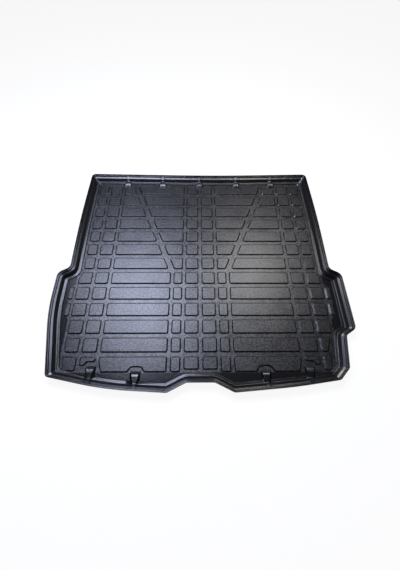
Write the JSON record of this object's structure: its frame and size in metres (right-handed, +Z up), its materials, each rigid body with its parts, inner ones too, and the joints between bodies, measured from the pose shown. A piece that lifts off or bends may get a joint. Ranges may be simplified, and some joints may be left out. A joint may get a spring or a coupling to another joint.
{
  "type": "car boot liner",
  "caption": "Moulded black car boot liner: a shallow tray with a stepped wall, a field of raised tiles and wedge ribs at its front and back walls.",
  "frame": {"origin": "the middle of the liner's box in plan, on its flat underside", "axes": "+X across the car to the right as seen from the door, +Y forwards towards the seats, +Z up, out of the tray"},
  "size_m": [1.0988, 0.9888, 0.031],
  "materials": {
    "liner": "satin black moulded plastic with a fine leather grain"
  },
  "bodies": {
    "root": {"boot_liner": "liner"}
  },
  "joints": []
}
